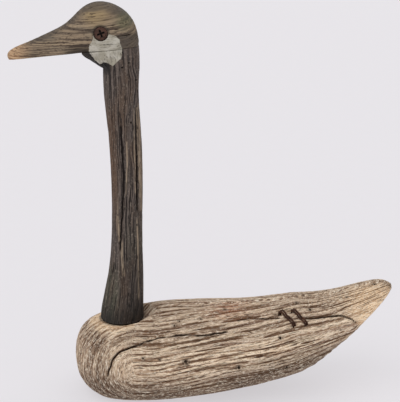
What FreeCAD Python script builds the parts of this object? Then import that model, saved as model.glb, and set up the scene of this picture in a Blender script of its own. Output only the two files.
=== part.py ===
"""A carved wooden goose decoy: body, lift-off neck on a peg, head, screw eyes and two wire stitches.

The bird faces -X and stands on the flat of its belly at Z = 0. Millimetres.
"""
import FreeCAD, Part
import math
import os
import Sketcher

# One row per section of the body: name, place along X, half width, top, bottom.
BODY_SECTIONS = [
    ("breast_tip", -131, 12, 53, 30),
    ("breast_face", -128, 26, 62.5, 18),
    ("breast", -120, 41, 71.5, 7),
    ("shoulder", -104, 53, 79.5, -3.5),
    ("saddle", -78, 61, 84, -6.5),
    ("girth", -38, 65, 90, -4.5),
    ("flank", 12, 61, 92.5, 1),
    ("loin", 62, 54, 96.5, 11.5),
    ("rump", 112, 45, 102.5, 28.5),
    ("tail_root", 150, 34, 111, 46),
    ("tail", 180, 23, 118, 64),
    ("tail_end", 190.5, 15, 114, 74),
]
# The head's sections reach below its flat underside, where they give the neck its jowl.
HEAD_SECTIONS = [
    ("bill_tip", -190.5, 3.5, 352.5, 347.5),
    ("bill_front", -186, 6, 357, 344),
    ("bill_middle", -172, 8, 363.5, 342),
    ("bill_root", -148, 9.5, 374, 341),
    ("brow", -130, 12, 385, 343.5),
    ("forehead", -116, 14.5, 398, 348.5),
    ("crown", -101, 16.5, 403, 340),
    ("poll", -85, 17, 399.5, 336.5),
    ("nape", -73, 14.5, 390.5, 341),
    ("back_of_head", -66.5, 9.5, 379.5, 346),
    ("head_end", -64, 5, 370, 351),
]
# One row per section of the neck: name, height, front, rear, half width.
NECK_SECTIONS = [
    ("ankle", 79, -105.8, -61.9, 21.6),
    ("flare", 97, -103.6, -62.4, 19.5),
    ("shin", 116, -99.6, -62.2, 17.4),
    ("lower_neck", 145, -95.1, -62.4, 15.5),
    ("middle_neck", 210, -92.4, -61.8, 14.5),
    ("upper_neck", 270, -94.2, -62.2, 14.7),
    ("throat", 325, -98.3, -63.9, 15.8),
    ("neck_top", 372, -99.5, -64.2, 17.0),
]
DIMENSIONS = {
    "oval_roundness": 0.85,
    "facet_x": 150,
    "facet_height": 74.8,
    "facet_angle": 43,
    "seat_height": 77,
    "seat_clearance": 0.3,
    "seat_slope": 50,
    "dish_height": 20,
    "peg_x": -84,
    "foot_radius": 22,
    "foot_depth": 3,
    "seam_x": -183,
    "seam_height": 347.8,
    "seam_angle": 6.6,
    "bevel_x": -119.3,
    "bevel_angle": -47,
    "bevel_reach": 12,
    "peg_radius": 8,
    "peg_below": 40,
    "peg_above": 34,
    "peg_chamfer": 1.5,
    "peg_fit": 0.08,
    "peg_end_gap": 2,
    "dowel_radius": 5,
    "dowel_x": -86,
    "dowel_half_length": 18,
    "dowel_end_gap": 1,
    "eye_x": -98.7,
    "eye_height": 374.8,
    "eye_depth": 15.2,
    "screw_head_radius": 6.8,
    "screw_head_height": 4.2,
    "screw_rim": 0.8,
    "screw_shank_radius": 2.6,
    "screw_length": 11.5,
    "screw_point": 3.5,
    "recess_width": 1.5,
    "recess_span": 7.2,
    "recess_depth": 2.6,
    "countersink_gap": 0.35,
    "wire_radius": 0.95,
    "strand_spacing": 1.8,
    "stitch_bend": 3,
    "stitch_span": 22,
    "stitch_leg": 8,
    "stitch_hole_radius": 2.1,
}
# Where the middle of each stitch lies, how far its surface leans out, and its turn in that surface.
STITCHES = {
    "front_stitch": {"x": 83, "y": -31.6, "z": 90.4, "lean": 32, "turn": -52},
    "rear_stitch": {"x": 95, "y": -31.2, "z": 91.6, "lean": 32, "turn": -56},
}
SEAT_RADIUS = "Dims.foot_radius + Dims.seat_clearance"
SEAM_AT_DOWEL = "Dims.seam_height + (Dims.dowel_x - Dims.seam_x) * tan(Dims.seam_angle)"
SEAM_AT_BEVEL = "Dims.seam_height + (Dims.bevel_x - Dims.seam_x) * tan(Dims.seam_angle)"
EYE_ROLL = 20
UP = FreeCAD.Vector(0, 0, 1)
BIG = 400


def build_sheet(doc):
    sheet = doc.addObject("Spreadsheet::Sheet", "Dims")
    rows = dict(DIMENSIONS)
    for name, x, half, top, bottom in BODY_SECTIONS + HEAD_SECTIONS:
        rows.update({name + "_x": x, name + "_half": half, name + "_top": top, name + "_bottom": bottom})
    for name, height, front, rear, half in NECK_SECTIONS:
        rows.update({name + "_z": height, name + "_front": front, name + "_rear": rear})
        rows[name + "_half"] = half
    for name, place in STITCHES.items():
        rows.update({f"{name}_{word}": value for word, value in place.items()})
    for row, (alias, value) in enumerate(rows.items(), start=1):
        sheet.set(f"A{row}", alias)
        sheet.set(f"B{row}", str(value))
        sheet.setAlias(f"B{row}", alias)
    doc.recompute()
    return sheet


def new_body(doc, name):
    body = doc.addObject("PartDesign::Body", name)
    body.Label = name
    return body


def new_sketch(body, name, role):
    sketch = body.newObject("Sketcher::SketchObject", name)
    plane = next(f for f in body.Origin.OriginFeatures if f.Role == role)
    sketch.AttachmentSupport = [(plane, "")]
    sketch.MapMode = "FlatFace"
    return sketch


def bind(sketch, index, name, expression):
    sketch.renameConstraint(index, name)
    sketch.setExpression("Constraints." + name, expression)


def four_arcs(half_x, half_y, round_share):
    """The arcs of an oval: small ones at the ends of its long axis, tangent to two large ones."""
    small = round_share * min(half_x, half_y)
    far, near = max(half_x, half_y), min(half_x, half_y)
    large = ((far - small) ** 2 + near**2 - small**2) / (2 * (near - small))
    joint = math.atan2(large - near, far - small)
    wide = half_x >= half_y
    end_x = (far - small, small) if wide else (near - large, large)
    end_y = (near - large, large) if wide else (far - small, small)
    split = joint if wide else math.pi / 2 - joint
    return end_x, end_y, split, wide


def oval(sheet, body, name, role, half_x, half_y):
    """A four-arc oval about the sketch's own origin; half_x and half_y are expressions."""
    sketch = new_sketch(body, name, role)
    share = sheet.oval_roundness
    value_x = evaluate(sheet, half_x)
    value_y = evaluate(sheet, half_y)
    (cx, rx), (cy, ry), split, wide = four_arcs(value_x, value_y, share)
    full = math.pi
    spans = [
        (cx, 0, rx, -split, split),
        (0, cy, ry, split, full - split),
        (-cx, 0, rx, full - split, full + split),
        (0, -cy, ry, full + split, 2 * full - split),
    ]
    for x, y, radius, start, end in spans:
        circle = Part.Circle(FreeCAD.Vector(x, y, 0), UP, radius)
        sketch.addGeometry(Part.ArcOfCircle(circle, start, end), False)
    for first in range(4):
        sketch.addConstraint(Sketcher.Constraint("Tangent", first, 2, (first + 1) % 4, 1))
    for arc, axis in ((0, -1), (2, -1), (1, -2)):
        sketch.addConstraint(Sketcher.Constraint("PointOnObject", arc, 3, axis))
    sketch.addConstraint(Sketcher.Constraint("Equal", 0, 2))
    sketch.addConstraint(Sketcher.Constraint("Equal", 1, 3))
    far, near = (half_x, half_y) if wide else (half_y, half_x)
    small = f"(Dims.oval_roundness * ({near}))"
    large = f"((({far}) - {small})^2 + ({near})^2 - {small}^2) / (2 * (({near}) - {small}))"
    small_arc, large_arc = (0, 1) if wide else (1, 0)
    span = "DistanceX" if wide else "DistanceY"
    index = sketch.addConstraint(Sketcher.Constraint("Radius", small_arc, rx if wide else ry))
    bind(sketch, index, "end_radius", small)
    index = sketch.addConstraint(Sketcher.Constraint("Radius", large_arc, ry if wide else rx))
    bind(sketch, index, "side_radius", large)
    offset = cx if wide else cy
    index = sketch.addConstraint(Sketcher.Constraint(span, -1, 1, small_arc, 3, offset))
    bind(sketch, index, "end_centre", f"({far}) - {small}")
    return sketch


def evaluate(sheet, expression):
    return float(sheet.evalExpression(expression))


def cross_section(sheet, body, name):
    """A section square to X, between the heights and half width that the sheet gives it."""
    half_height = f"(Dims.{name}_top - Dims.{name}_bottom) / 2"
    sketch = oval(sheet, body, f"{name}_in_{body.Name}", "YZ_Plane", f"Dims.{name}_half", half_height)
    sketch.setExpression("AttachmentOffset.Base.y", f"(Dims.{name}_top + Dims.{name}_bottom) / 2")
    sketch.setExpression("AttachmentOffset.Base.z", f"Dims.{name}_x")
    return sketch


def level_section(sheet, body, name):
    """A level section of the neck."""
    half_length = f"(Dims.{name}_rear - Dims.{name}_front) / 2"
    sketch = oval(sheet, body, f"{name}_section", "XY_Plane", half_length, f"Dims.{name}_half")
    sketch.setExpression("AttachmentOffset.Base.x", f"(Dims.{name}_rear + Dims.{name}_front) / 2")
    sketch.setExpression("AttachmentOffset.Base.z", f"Dims.{name}_z")
    return sketch


def loft(body, name, sketches):
    feature = body.newObject("PartDesign::AdditiveLoft", name)
    feature.Profile = sketches[0]
    feature.Sections = sketches[1:]
    feature.Ruled = False
    feature.Document.recompute()
    return feature


def tilted(sketch, x, z, angle):
    """Moves a sketch on the XZ plane to (x, z) and turns it, all three given as expressions."""
    sketch.AttachmentOffset = FreeCAD.Placement(FreeCAD.Vector(), FreeCAD.Rotation(UP, 1))
    sketch.setExpression("AttachmentOffset.Base.x", x)
    sketch.setExpression("AttachmentOffset.Base.y", z)
    sketch.setExpression("AttachmentOffset.Rotation.Angle", angle)


def polygon(sketch, points):
    """A closed outline with every corner fixed at the number or expression given for it."""
    values = [tuple(evaluate(sketch, str(value)) for value in point) for point in points]
    count = len(points)
    for index in range(count):
        start = FreeCAD.Vector(*values[index], 0)
        end = FreeCAD.Vector(*values[(index + 1) % count], 0)
        sketch.addGeometry(Part.LineSegment(start, end), False)
    for index in range(count):
        sketch.addConstraint(Sketcher.Constraint("Coincident", index, 2, (index + 1) % count, 1))
    for index, (x, y) in enumerate(points):
        for kind, value, text in (("DistanceX", values[index][0], x), ("DistanceY", values[index][1], y)):
            place = sketch.addConstraint(Sketcher.Constraint(kind, -1, 1, index, 1, value))
            if isinstance(text, str):
                bind(sketch, place, f"{kind}_{index}", text)


def circle(sketch, radius, x="0", y="0"):
    values = [evaluate(sketch, text) for text in (radius, x, y)]
    centre = FreeCAD.Vector(values[1], values[2], 0)
    sketch.addGeometry(Part.Circle(centre, UP, values[0]), False)
    bind(sketch, sketch.addConstraint(Sketcher.Constraint("Radius", 0, values[0])), "radius", radius)
    for kind, value, text in (("DistanceX", values[1], x), ("DistanceY", values[2], y)):
        place = sketch.addConstraint(Sketcher.Constraint(kind, -1, 1, 0, 3, value))
        bind(sketch, place, "centre_" + kind[-1].lower(), text)


def cut(body, name, sketch, length, reverse=False, both_sides=False):
    """A pocket that has to take something away."""
    doc = body.Document
    doc.recompute()
    before = body.Shape.Volume
    pocket = body.newObject("PartDesign::Pocket", name)
    pocket.Profile = sketch
    pocket.Reversed = reverse
    pocket.Midplane = both_sides
    pocket.setExpression("Length", length)
    doc.recompute()
    if body.Shape.Volume > before - 1:
        raise RuntimeError(f"{name} cuts nothing")
    return pocket


def pad(body, name, sketch, length, both_sides=False):
    feature = body.newObject("PartDesign::Pad", name)
    feature.Profile = sketch
    feature.Midplane = both_sides
    feature.setExpression("Length", length)
    body.Document.recompute()
    return feature


def cut_by_plane(body, name, x, z, angle, above, reach=str(BIG)):
    """Takes away what lies above or below a plane through (x, z), up to its reach past that point."""
    sketch = new_sketch(body, name + "_outline", "XZ_Plane")
    tilted(sketch, x, z, angle)
    edge = BIG if above else -BIG
    polygon(sketch, [(-BIG, 0), (-BIG, edge), (reach, edge), (reach, 0)])
    cut(body, name, sketch, str(BIG), both_sides=True)


def bore(body, name, radius, length, x, y, z, reverse=False, tilt="0"):
    """A round hole down from (x, y, z), or up when reversed, leaning by tilt towards +X."""
    sketch = new_sketch(body, name + "_outline", "XY_Plane")
    across = FreeCAD.Vector(0, -1, 0)
    sketch.AttachmentOffset = FreeCAD.Placement(FreeCAD.Vector(), FreeCAD.Rotation(across, 1))
    for letter, text in (("x", x), ("y", y), ("z", z)):
        sketch.setExpression("AttachmentOffset.Base." + letter, text)
    sketch.setExpression("AttachmentOffset.Rotation.Angle", tilt)
    circle(sketch, radius)
    cut(body, name, sketch, length, reverse=reverse)


def build_goose_body(doc, sheet):
    body = new_body(doc, "body")
    loft(body, "body_block", [cross_section(sheet, body, row[0]) for row in BODY_SECTIONS])
    cut_by_plane(body, "sole", "0", "0", "0", above=False)
    cut_by_plane(body, "tail_facet", "Dims.facet_x", "Dims.facet_height", "Dims.facet_angle", above=False)
    cut_seat(body)
    bore(
        body, "peg_socket", "Dims.peg_radius + Dims.peg_fit", "Dims.peg_below + Dims.peg_end_gap",
        "Dims.peg_x", "0", "Dims.seat_height",
    )
    for name in STITCHES:
        drill_stitch_holes(body, sheet, name)
    return body


def cut_seat(body):
    """The flat that the neck stands on, in a shallow dish with sloping sides."""
    sketch = new_sketch(body, "seat_outline", "XY_Plane")
    sketch.setExpression("AttachmentOffset.Base.x", "Dims.peg_x")
    sketch.setExpression("AttachmentOffset.Base.z", "Dims.seat_height")
    circle(sketch, SEAT_RADIUS)
    seat = cut(body, "seat", sketch, "Dims.dish_height", reverse=True)
    seat.setExpression("TaperAngle", "Dims.seat_slope")
    body.Document.recompute()


def drill_stitch_holes(body, sheet, name):
    """Two holes square to the surface, one for each leg of a stitch."""
    frame = stitch_frame(sheet, name)
    for side in (-1, 1):
        sketch = new_sketch(body, f"{name}_hole_{'front' if side < 0 else 'rear'}", "XY_Plane")
        place = FreeCAD.Vector(side * sheet.stitch_span / 2, 0, sheet.stitch_bend)
        sketch.AttachmentOffset = frame.multiply(FreeCAD.Placement(place, FreeCAD.Rotation()))
        circle(sketch, "Dims.stitch_hole_radius")
        cut(body, sketch.Name + "_cut", sketch, "Dims.stitch_leg + Dims.stitch_bend + 1")


def stitch_frame(sheet, name):
    """The middle of a stitch on the surface: its x axis along the wire, its z axis outwards."""
    x, y, z, lean, turn = (sheet.get(f"{name}_{word}") for word in ("x", "y", "z", "lean", "turn"))
    rotation = FreeCAD.Rotation(FreeCAD.Vector(1, 0, 0), lean) * FreeCAD.Rotation(UP, turn)
    return FreeCAD.Placement(FreeCAD.Vector(x, y, z), rotation)


def build_neck(doc, sheet):
    body = new_body(doc, "neck")
    loft(body, "neck_post", [level_section(sheet, body, row[0]) for row in NECK_SECTIONS])
    foot = new_sketch(body, "foot_outline", "XY_Plane")
    foot.setExpression("AttachmentOffset.Base.x", "Dims.peg_x")
    foot.setExpression("AttachmentOffset.Base.z", "Dims.seat_height")
    circle(foot, "Dims.foot_radius")
    pad(body, "foot", foot, "Dims.foot_depth")
    names = [row[0] for row in HEAD_SECTIONS]
    jowl_names = names[names.index("forehead"):]
    loft(body, "jowl", [cross_section(sheet, body, name) for name in jowl_names])
    cut_by_plane(
        body, "throat_bevel", "Dims.bevel_x", SEAM_AT_BEVEL, "Dims.bevel_angle", above=False,
        reach="Dims.bevel_reach",
    )
    cut_by_plane(body, "seam", "Dims.seam_x", "Dims.seam_height", "Dims.seam_angle", above=True)
    bore(
        body, "peg_bore", "Dims.peg_radius + Dims.peg_fit", "Dims.peg_above + Dims.peg_end_gap",
        "Dims.peg_x", "0", "Dims.seat_height", reverse=True,
    )
    bore_for_dowel(body, downwards=True)
    return body


def bore_for_dowel(body, downwards):
    bore(
        body, "dowel_bore", "Dims.dowel_radius", "Dims.dowel_half_length + Dims.dowel_end_gap",
        "Dims.dowel_x", "0", SEAM_AT_DOWEL, reverse=not downwards, tilt="Dims.seam_angle",
    )


def build_head(doc, sheet):
    body = new_body(doc, "head")
    loft(body, "head_block", [cross_section(sheet, body, row[0]) for row in HEAD_SECTIONS])
    cut_by_plane(body, "underside", "Dims.seam_x", "Dims.seam_height", "Dims.seam_angle", above=False)
    bore_for_dowel(body, downwards=False)
    for side in (-1, 1):
        sink_eye(body, "left" if side < 0 else "right", side)
    return body


def sink_eye(body, name, side):
    """A countersunk well for an eye screw, turned about a line along Y."""
    sketch = new_sketch(body, f"eye_well_outline_{name}", "YZ_Plane")
    sketch.setExpression("AttachmentOffset.Base.y", "Dims.eye_height")
    sketch.setExpression("AttachmentOffset.Base.z", "Dims.eye_x")
    gap = "Dims.countersink_gap"
    rim = f"Dims.screw_head_radius + {gap}"
    shank = f"Dims.screw_shank_radius + {gap}"
    face = "Dims.eye_depth"
    shoulder = f"{side} * ({face} - Dims.screw_head_height - {gap})"
    end = f"{side} * ({face} - Dims.screw_length - 1)"
    polygon(sketch, [
        (end, 0), (end, shank), (shoulder, shank), (f"{side} * ({face} - Dims.screw_rim - {gap})", rim),
        (side * BIG, rim), (side * BIG, 0),
    ])
    body.Document.recompute()
    before = body.Shape.Volume
    groove = body.newObject("PartDesign::Groove", f"eye_well_{name}")
    groove.Profile = sketch
    groove.ReferenceAxis = (sketch, ["H_Axis"])
    groove.Angle = 360
    body.Document.recompute()
    if body.Shape.Volume > before - 1:
        raise RuntimeError(groove.Name + " cuts nothing")


def build_peg(doc):
    body = new_body(doc, "neck_peg")
    outline = new_sketch(body, "peg_outline", "XY_Plane")
    circle(outline, "Dims.peg_radius")
    shaft = pad(body, "shaft", outline, "Dims.peg_below + Dims.peg_above")
    chamfer_ends(body, shaft)
    body.setExpression("Placement.Base.x", "Dims.peg_x")
    body.setExpression("Placement.Base.z", "Dims.seat_height - Dims.peg_below")
    return body


def build_dowel(doc):
    body = new_body(doc, "head_dowel")
    outline = new_sketch(body, "dowel_outline", "XY_Plane")
    circle(outline, "Dims.dowel_radius")
    shaft = pad(body, "dowel_shaft", outline, "2 * Dims.dowel_half_length", both_sides=True)
    chamfer_ends(body, shaft)
    body.Placement = FreeCAD.Placement(FreeCAD.Vector(), FreeCAD.Rotation(FreeCAD.Vector(0, -1, 0), 1))
    body.setExpression("Placement.Base.x", "Dims.dowel_x")
    body.setExpression("Placement.Base.z", SEAM_AT_DOWEL)
    body.setExpression("Placement.Rotation.Angle", "Dims.seam_angle")
    return body


def chamfer_ends(body, shaft):
    faces = shaft.Shape.Faces
    flat = [f"Face{i}" for i, face in enumerate(faces, start=1) if face.Surface.TypeId == "Part::GeomPlane"]
    chamfer = body.newObject("PartDesign::Chamfer", shaft.Name + "_chamfer")
    chamfer.Base = (shaft, flat)
    chamfer.setExpression("Size", "Dims.peg_chamfer")
    body.Document.recompute()


def build_eye_screw(doc, name, side):
    """A countersunk wood screw with a cross recess, made upright and then laid along Y."""
    body = new_body(doc, name)
    outline = new_sketch(body, name + "_outline", "XZ_Plane")
    polygon(outline, [
        (0, 0), ("Dims.screw_head_radius", 0), ("Dims.screw_head_radius", "-Dims.screw_rim"),
        ("Dims.screw_shank_radius", "-Dims.screw_head_height"),
        ("Dims.screw_shank_radius", "-(Dims.screw_length - Dims.screw_point)"), (0, "-Dims.screw_length"),
    ])
    turned = body.newObject("PartDesign::Revolution", name + "_blank")
    turned.Profile = outline
    turned.ReferenceAxis = (outline, ["V_Axis"])
    turned.Angle = 360
    half_span = "Dims.recess_span / 2"
    half_width = "Dims.recess_width / 2"
    for slot, (half_x, half_y) in enumerate(((half_span, half_width), (half_width, half_span))):
        sketch = new_sketch(body, f"{name}_slot_{slot}", "XY_Plane")
        polygon(sketch, [
            (f"-{half_x}", f"-{half_y}"), (half_x, f"-{half_y}"), (half_x, half_y), (f"-{half_x}", half_y),
        ])
        cut(body, f"{name}_recess_{slot}", sketch, "Dims.recess_depth")
    lay_down = FreeCAD.Rotation(FreeCAD.Vector(1, 0, 0), -side * 90)
    turn = FreeCAD.Rotation(UP, EYE_ROLL)
    body.Placement = FreeCAD.Placement(FreeCAD.Vector(), lay_down * turn)
    body.setExpression("Placement.Base.x", "Dims.eye_x")
    body.setExpression("Placement.Base.y", f"{side} * Dims.eye_depth")
    body.setExpression("Placement.Base.z", "Dims.eye_height")
    return body


def build_stitch(doc, sheet, name):
    """A wire doubled back beside itself and bent into a staple, made flat and then laid on the side."""
    body = new_body(doc, name)
    route = new_sketch(body, name + "_route", "XZ_Plane")
    reach = sheet.stitch_span / 2
    bend = sheet.stitch_bend
    rise = sheet.wire_radius
    leg = sheet.stitch_leg
    knee = rise - bend
    inner = reach - bend
    lines = [((-reach, -leg), (-reach, knee)), ((-inner, rise), (inner, rise)), ((reach, knee), (reach, -leg))]
    for start, end in lines:
        route.addGeometry(Part.LineSegment(FreeCAD.Vector(*start, 0), FreeCAD.Vector(*end, 0)), False)
    for x, start in ((-inner, math.pi / 2), (inner, 0)):
        ring = Part.Circle(FreeCAD.Vector(x, knee, 0), UP, bend)
        route.addGeometry(Part.ArcOfCircle(ring, start, start + math.pi / 2), False)
    for first, first_end, second, second_end in ((0, 2, 3, 2), (3, 1, 1, 1), (1, 2, 4, 2), (4, 1, 2, 1)):
        route.addConstraint(Sketcher.Constraint("Tangent", first, first_end, second, second_end))
    route.addConstraint(Sketcher.Constraint("Vertical", 0))
    route.addConstraint(Sketcher.Constraint("Horizontal", 1))
    route.addConstraint(Sketcher.Constraint("Vertical", 2))
    for place, label, text in (
        (Sketcher.Constraint("Radius", 3, bend), "front_bend", "Dims.stitch_bend"),
        (Sketcher.Constraint("Radius", 4, bend), "rear_bend", "Dims.stitch_bend"),
        (Sketcher.Constraint("DistanceX", 0, 1, -1, 1, reach), "front_reach", "Dims.stitch_span / 2"),
        (Sketcher.Constraint("DistanceX", -1, 1, 2, 2, reach), "rear_reach", "Dims.stitch_span / 2"),
        (Sketcher.Constraint("DistanceY", 0, 1, -1, 1, leg), "front_leg", "Dims.stitch_leg"),
        (Sketcher.Constraint("DistanceY", 2, 2, -1, 1, leg), "rear_leg", "Dims.stitch_leg"),
        (Sketcher.Constraint("DistanceY", -1, 1, 1, 1, rise), "rise", "Dims.wire_radius"),
    ):
        bind(route, route.addConstraint(place), label, text)
    for strand, sign in (("near", "-"), ("far", "")):
        section = new_sketch(body, f"{name}_{strand}_section", "XY_Plane")
        section.setExpression("AttachmentOffset.Base.z", "-Dims.stitch_leg")
        circle(section, "Dims.wire_radius", "-Dims.stitch_span / 2", f"{sign}Dims.strand_spacing / 2")
        pipe = body.newObject("PartDesign::AdditivePipe", f"{name}_{strand}_strand")
        pipe.Profile = section
        pipe.Spine = (route, [])
        doc.recompute()
    body.Placement = stitch_frame(sheet, name)
    return body


def check(doc, bodies):
    for item in doc.Objects:
        if "Invalid" in item.State or "Error" in item.State:
            raise RuntimeError(f"{item.Label} failed: {item.State}")
    for body in bodies:
        if body.Shape.isNull() or not body.Shape.isValid() or len(body.Shape.Solids) != 1:
            raise RuntimeError(f"{body.Label} is not one valid solid")


def main():
    doc = FreeCAD.newDocument("goose_decoy")
    sheet = build_sheet(doc)
    bodies = [build_goose_body(doc, sheet), build_neck(doc, sheet), build_head(doc, sheet)]
    bodies += [build_peg(doc), build_dowel(doc)]
    bodies += [build_eye_screw(doc, "eye_screw_left", -1), build_eye_screw(doc, "eye_screw_right", 1)]
    bodies += [build_stitch(doc, sheet, name) for name in STITCHES]
    doc.recompute()
    check(doc, bodies)
    os.makedirs("parts", exist_ok=True)
    for body in bodies:
        body.Shape.exportStep(f"parts/{body.Label}.step")
        print(f"{body.Label}: {body.Shape.Volume / 1000:.1f} cm3")


main()
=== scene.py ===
"""A weathered goose decoy: wooden skins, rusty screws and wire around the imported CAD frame.

Lengths are in millimetres until a mesh is made; x runs from bill to tail, -y is the left side.
"""

import itertools
import math

import bpy
import numpy as np
from mathutils import Matrix, Vector
from mathutils.bvhtree import BVHTree


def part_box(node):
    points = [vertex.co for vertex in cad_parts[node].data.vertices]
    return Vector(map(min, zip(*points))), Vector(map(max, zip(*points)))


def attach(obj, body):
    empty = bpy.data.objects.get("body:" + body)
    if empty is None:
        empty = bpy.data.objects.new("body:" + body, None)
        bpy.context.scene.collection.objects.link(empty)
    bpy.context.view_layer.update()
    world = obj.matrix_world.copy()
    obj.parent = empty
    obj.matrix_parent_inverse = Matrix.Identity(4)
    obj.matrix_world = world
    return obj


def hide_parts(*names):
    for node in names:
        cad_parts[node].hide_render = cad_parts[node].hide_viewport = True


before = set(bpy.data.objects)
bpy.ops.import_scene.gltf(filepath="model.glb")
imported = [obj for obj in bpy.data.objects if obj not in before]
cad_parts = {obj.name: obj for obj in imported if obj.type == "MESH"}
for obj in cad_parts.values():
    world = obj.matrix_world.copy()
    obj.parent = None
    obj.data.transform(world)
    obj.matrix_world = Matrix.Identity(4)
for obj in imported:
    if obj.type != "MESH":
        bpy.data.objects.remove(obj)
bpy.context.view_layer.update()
MM = 0.001
UP = np.array([0.0, 0.0, 1.0])

# Places on the CAD pieces: the neck's seat, the seam under the head, the dowel, the peg's bore and the eye screws.
PEG_X, SEAT_Z, FOOT_RADIUS, NECK_X = -84.0, 77.0, 22.0, -82.0
SEAM_POINT, SEAM_SLOPE = (-183.0, 347.8), math.tan(math.radians(6.6))
DOWEL_X, DOWEL_RADIUS, DOWEL_REACH = -86.0, 5.0, 19.0
PEG_BORE_RADIUS, PEG_BORE_UP, PEG_BORE_DOWN = 8.08, 36.0, 42.0
EYE_X, EYE_Z, EYE_ROLL = -98.7, 374.8, 20
EYE_WELL = [(2.95, 2.7), (2.95, 10.65), (7.15, 14.05), (7.15, 30)]
FOOT_ROUND = 2.6
# How many rings of points each skin has, and how many points each ring has.
BODY_RINGS, BODY_AROUND = 227, 388
NECK_RINGS, NECK_AROUND = 185, 290
HEAD_RINGS, HEAD_OVER, HEAD_UNDER = 176, 210, 46
# Radius, as a share of a hole's size, and height of the turned tools that cut worm holes and wire holes.
BODY_HOLE = ((0.35, -3.5), (0.9, -1.4), (1.15, 0), (1.6, 1.5))
PIN_HOLE = ((0.35, -3.5), (0.8, -1.4), (1, 0), (1.4, 1.2))
WIRE_HOLE = ((1.0, -4.0), (1.5, -1.0), (1.9, 1.5))


# ---------------------------------------------------------------- noise and small maths


class Noise:
    """Seeded 3-D gradient noise, about -1 to 1."""

    def __init__(self, seed):
        rng = np.random.default_rng(seed)
        self.order = np.tile(rng.permutation(256), 2)
        self.slopes = directions(rng.normal(size=(256, 3)))

    def __call__(self, points, size):
        points = np.asarray(points, float) / np.asarray(size, float)
        cell = np.floor(points).astype(int)
        inside = points - cell
        fade = inside**3 * (inside * (inside * 6 - 15) + 10)
        total = np.zeros(len(points))
        for corner in itertools.product((0, 1), repeat=3):
            c = (cell + corner) & 255
            index = self.order[self.order[self.order[c[:, 0]] + c[:, 1]] + c[:, 2]]
            weight = np.prod(np.where(corner, fade, 1 - fade), axis=1)
            total += weight * ((inside - corner) * self.slopes[index]).sum(1)
        return total * 1.7


def unit(values):
    return np.clip(values, 0, 1)


def step(low, high, x):
    """0 below low, 1 above high, smooth between."""
    t = unit((x - low) / (high - low))
    return t * t * (3 - 2 * t)


def bell(x, centre, width, power=2):
    """1 at the centre, falling towards 0 over the width on both sides."""
    return np.exp(-(np.abs((x - centre) / width) ** power))


def columns(*values):
    return np.stack(values, axis=-1)


def directions(vectors):
    """The vectors at length 1."""
    return vectors / np.linalg.norm(vectors, axis=-1, keepdims=True)


def running(steps):
    """How far along each step starts, and where the last one ends."""
    return np.concatenate([[0], np.cumsum(steps)])


def seam_z(x):
    return SEAM_POINT[1] + (x - SEAM_POINT[0]) * SEAM_SLOPE


def spline(points, spacing=0.5):
    """Points along a Catmull-Rom curve through these, and their distance along it."""
    p = np.asarray(points, float)
    p = np.vstack([2 * p[0] - p[1], p, 2 * p[-1] - p[-2]])
    made = []
    for a, b, c, d in zip(p, p[1:], p[2:], p[3:]):
        count = max(2, int(np.linalg.norm(c - b) / spacing))
        t = np.linspace(0, 1, count, endpoint=False)[:, None]
        made.append(
            0.5 * (2 * b + (c - a) * t + (2 * a - 5 * b + 4 * c - d) * t**2 + (3 * b - a - 3 * c + d) * t**3)
        )
    made.append(p[-2:-1])
    line = np.vstack(made)
    return line, running(np.linalg.norm(np.diff(line, axis=0), axis=1))


def near_line(points, line, reach):
    """Distance to a line, and where on it, for the points within reach of its box."""
    distance = np.full(len(points), 1e3)
    index = np.zeros(len(points), int)
    low, high = line.min(0) - reach, line.max(0) + reach
    near = np.nonzero(((points > low) & (points < high)).all(1))[0]
    for part in np.array_split(near, max(1, len(near) // 4000)):
        apart = np.linalg.norm(points[part][:, None] - line[None], axis=2)
        index[part] = apart.argmin(1)
        distance[part] = apart.min(1)
    return distance, index


# ---------------------------------------------------------------- skins cast from the CAD nodes


def surface_of(made):
    """The surface of an object, in millimetres, for rays and nearest points."""
    points = [v.co / MM for v in made.data.vertices]
    return BVHTree.FromPolygons(points, [p.vertices[:] for p in made.data.polygons])


def cast(tree, starts, aims):
    """Where rays from starts towards aims first meet the surface, nan where they miss."""
    hits = np.full(starts.shape, np.nan)
    for i, (start, aim) in enumerate(zip(starts, aims)):
        hit = tree.ray_cast(Vector(start), Vector(aim - start))[0]
        if hit is not None:
            hits[i] = hit
    return hits


def cast_in(tree, centres, arms, reach):
    """Where a grid of rays, from reach away along the arms, meets the surface on the way to the centres."""
    centres = np.broadcast_to(centres, arms.shape)
    return cast(tree, (centres + arms * reach).reshape(-1, 3), centres.reshape(-1, 3)).reshape(arms.shape)


def half_widths(tree, xs, heights, reach):
    """How far the left side is from the middle at these places and heights, from rays that start at reach."""
    flat = np.zeros_like(xs)
    return -cast(tree, columns(xs, flat - reach, heights), columns(xs, flat, heights))[:, 1]


def mended(field, bad, passes=500):
    """The field with its bad samples filled in smoothly from their neighbours."""
    field = field.copy()
    for row, spoilt in zip(field, bad):
        if spoilt.any():
            at = np.nonzero(~spoilt)[0]
            row[spoilt] = np.interp(np.nonzero(spoilt)[0], at, row[at], period=len(row))
    rows, cols = np.nonzero(bad)
    above, below = np.maximum(rows - 1, 0), np.minimum(rows + 1, len(field) - 1)
    left, right = (cols - 1) % field.shape[1], (cols + 1) % field.shape[1]
    for _ in range(passes):
        field[rows, cols] = (
            field[above, cols] + field[below, cols] + field[rows, left] + field[rows, right]
        ) / 4
    return field


def blurred(field, around, along):
    """The field after so many passes of smoothing around the rings and along them."""
    for _ in range(around):
        field = (np.roll(field, 1, 1) + 2 * field + np.roll(field, -1, 1)) / 4
    for _ in range(along):
        padded = np.concatenate([field[:1], field, field[-1:]])
        field = (padded[:-2] + 2 * field + padded[2:]) / 4
    return field


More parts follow.
